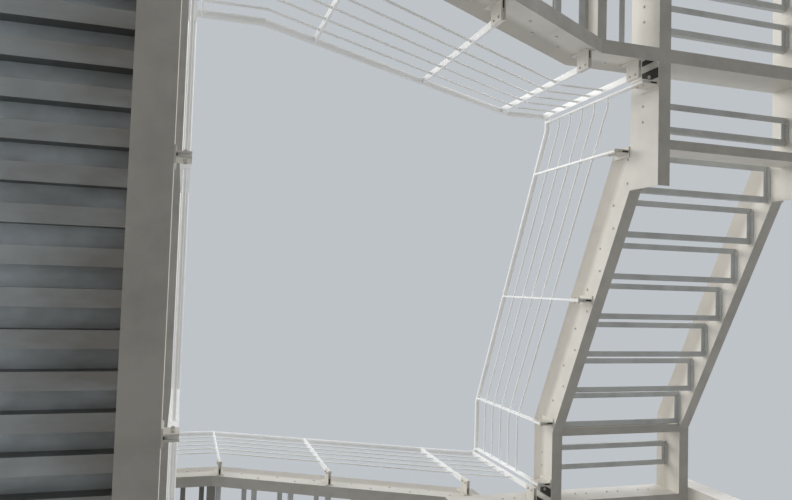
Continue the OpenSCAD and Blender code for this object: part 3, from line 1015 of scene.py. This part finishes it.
class STAIR_OT_welds(bpy.types.Operator):
    """Fillet welds round the column feet, rings where rods meet posts, and the rounded joints
    of the webs at the well corners"""

    bl_idname = "stair.welds"
    bl_label = "Welds"

    foot_leg: bpy.props.FloatProperty(
        name="Foot Weld", description="Leg of the weld round a column", default=0.009,
        unit="LENGTH",
    )
    ring: bpy.props.FloatProperty(
        name="Ring", description="Leg of the weld round a rod", default=0.0035, unit="LENGTH"
    )

    def column_feet(self):
        """One bead along each side of each column, on the base plate."""
        starts, outs = [], []
        for k, x, y in COLUMNS:
            for q in range(4):
                out, side = turn(q, (1.0, 0.0, 0.0)), turn(q + 1, (1.0, 0.0, 0.0))
                starts.append(place(k, 0.0, np.array((x, y, PLATE_T)) + (out + side) * COL / 2))
                outs.append(turn(k, out))
        ups = np.tile((0.0, 0.0, 1.0), (len(starts), 1))
        runs = np.cross(outs, ups) * COL
        return framed(fillet(self.foot_leg, steps=3, hollow=0.0), starts, outs, ups, runs)

    def well_corners(self):
        """A hollow fillet down each corner of the well between two webs of a corner landing."""
        tops = [place(k, z, (0.0, 0.0, KICK_H)) for k, z in CORNERS]
        sides = [turn(k, (0.0, 1.0, 0.0)) for k, _ in CORNERS]
        outs = [turn(k, (1.0, 0.0, 0.0)) for k, _ in CORNERS]
        runs = np.cross(sides, outs) * BEAM_H
        return framed(fillet(CORNER_R, steps=8), tops, sides, outs, runs)

    def rod_rings(self):
        """A short cone along each rod on both faces of each post."""
        r, step = ROD_D / 2, 0.001
        ring = revolve([(r + self.ring, -RING_SINK), (r + RING_LIP, self.ring)], RING_SIDES)
        drops = ROD_FIRST + ROD_PITCH * np.arange(RODS)
        origins, axes = [], []
        for k, z, s, _, off in brackets():
            for d in (-1.0, 1.0):
                at = s + d * POST_T / 2
                tilt = (rail_height(k, at + step) - rail_height(k, at - step)) / (2 * step)
                local = [(at, off, rail_height(k, at) - drop) for drop in drops]
                origins.append(place(k, z, local))
                axes.append(turn(k, [(d, 0.0, d * tilt)] * RODS))
        return copies(ring, origins, axes)

    def execute(self, context):
        colours = context.scene.stair_paint
        welds = join([self.column_feet(), self.well_corners()])
        new_piece("welds", welds, finish("site_paint", colours.paint[:]))
        new_piece("rod_welds", self.rod_rings(), finish("rail_paint", colours.rail[:]))
        return {"FINISHED"}


def seen_rays(t):
    """1 for rays from the camera, also by way of a mirror image or through glass, else 0."""
    path = t.add("ShaderNodeLightPath").outputs
    by_way = t.math("MAXIMUM", path["Is Glossy Ray"], path["Is Transmission Ray"])
    return t.math("MAXIMUM", path["Is Camera Ray"], by_way)


class STAIR_OT_stage(bpy.types.Operator):
    """Pale floor, soft light and the photograph's camera"""

    bl_idname = "stair.stage"
    bl_label = "Stage and Camera"

    def floor(self, scene, stage):
        """A wide plain floor that looks paler than the light that it gives back."""
        mesh = bpy.data.meshes.new("floor")
        r = FLOOR_REACH
        mesh.from_pydata([(-r, -r, 0), (r, -r, 0), (r, r, 0), (-r, r, 0)], [], [(0, 1, 2, 3)])
        floor = bpy.data.objects.new("floor", mesh)
        scene.collection.objects.link(floor)
        mat = bpy.data.materials.new("floor")
        mat.use_nodes = True
        t = Nodes(mat.node_tree)
        surface = mat.node_tree.nodes["Principled BSDF"]
        surface.inputs["Roughness"].default_value = FLOOR_ROUGHNESS
        grey = (stage.floor, stage.floor, stage.floor, 1.0)
        t.link(t.mix(seen_rays(t), grey, stage.pale[:]), surface.inputs["Base Color"])
        mesh.materials.append(mat)

    def sky(self, scene, stage):
        """Light that falls off from eye level upwards and towards the front, behind a plain
        backdrop."""
        world = bpy.data.worlds.new("world")
        scene.world = world
        world.use_nodes = True
        world.node_tree.nodes.clear()
        t = Nodes(world.node_tree)
        xyz = t.add("ShaderNodeSeparateXYZ")
        t.link(t.add("ShaderNodeTexCoord").outputs["Generated"], xyz.inputs[0])
        level = t.range(xyz.outputs["Z"], 0.0, 1.0, stage.horizon, stage.zenith)
        dim = t.range(xyz.outputs["Y"], 0.0, FRONT_REACH, 1.0, stage.front)
        light = t.add("ShaderNodeBackground")
        light.inputs["Color"].default_value = SKY
        t.link(t.math("MULTIPLY", level, dim), light.inputs["Strength"])
        plain = t.add("ShaderNodeBackground")
        plain.inputs["Color"].default_value = stage.back[:]
        plain.inputs["Strength"].default_value = 1.0
        mix = t.add("ShaderNodeMixShader")
        t.link(seen_rays(t), mix.inputs[0])
        t.link(light.outputs[0], mix.inputs[1])
        t.link(plain.outputs[0], mix.inputs[2])
        t.link(mix.outputs[0], t.add("ShaderNodeOutputWorld").inputs["Surface"])

    def suns(self, scene, stage):
        """Soft suns whose z axis points to their light."""
        for name, (to_light, colour) in SUNS.items():
            data = bpy.data.lights.new(name, "SUN")
            data.energy = getattr(stage, name)
            data.angle = SUN_WIDTH
            data.color = colour
            lamp = bpy.data.objects.new(name, data)
            scene.collection.objects.link(lamp)
            z = np.array(to_light) / np.linalg.norm(to_light)
            x = np.cross((0, 0, 1.0), z)
            x /= np.linalg.norm(x)
            rows = [(*r, 0) for r in np.stack([x, np.cross(z, x), z], 1)]
            lamp.matrix_world = Matrix([*rows, (0, 0, 0, 1)])

    def camera(self, scene):
        """The camera that took the photograph. The rows of its view point right, down and ahead,
        and a camera's own axes right, up and back."""
        data = bpy.data.cameras.new("camera")
        data.sensor_width = SENSOR_WIDTH
        data.lens = PHOTO_FOCAL / PHOTO_WIDTH * SENSOR_WIDTH
        data.clip_start, data.clip_end = CLIP
        camera = bpy.data.objects.new("camera", data)
        scene.collection.objects.link(camera)
        turned = np.transpose(VIEW_ROWS) * (1, -1, -1)
        rows = [(*row, at) for row, at in zip(turned, EYE)]
        camera.matrix_world = Matrix([*rows, (0, 0, 0, 1)])
        scene.camera = camera

    def execute(self, context):
        scene = context.scene
        stage = scene.stair_stage
        self.floor(scene, stage)
        self.sky(scene, stage)
        self.suns(scene, stage)
        self.camera(scene)
        scene.view_settings.view_transform = "Standard"
        return {"FINISHED"}


OPERATORS = (
    STAIR_OT_paint, STAIR_OT_tread_bolts, STAIR_OT_frame_bolts, STAIR_OT_bracket_bolts,
    STAIR_OT_packing, STAIR_OT_anchor_bolts, STAIR_OT_welds, STAIR_OT_stage,
)


class STAIR_PT_tower(bpy.types.Panel):
    """Lists the pieces of the stair tower"""

    bl_idname = "STAIR_PT_tower"
    bl_label = "Stair Tower"
    bl_space_type = "VIEW_3D"
    bl_region_type = "UI"
    bl_category = "Stair Tower"

    def draw(self, context):
        layout = self.layout
        for group in (context.scene.stair_paint, context.scene.stair_stage):
            for prop in group.bl_rna.properties:
                if prop.identifier not in ("rna_type", "name"):
                    layout.prop(group, prop.identifier)
        for op in OPERATORS:
            layout.operator(op.bl_idname)


CLASSES = (StairPaint, StairStage, *OPERATORS, STAIR_PT_tower)


def register():
    for c in CLASSES:
        bpy.utils.register_class(c)
    bpy.types.Scene.stair_paint = bpy.props.PointerProperty(type=StairPaint)
    bpy.types.Scene.stair_stage = bpy.props.PointerProperty(type=StairStage)


def unregister():
    del bpy.types.Scene.stair_stage
    del bpy.types.Scene.stair_paint
    for c in reversed(CLASSES):
        bpy.utils.unregister_class(c)


def main():
    register()
    for op in OPERATORS:
        getattr(bpy.ops.stair, op.bl_idname.split(".")[1])()


if __name__ == "__main__":
    main()
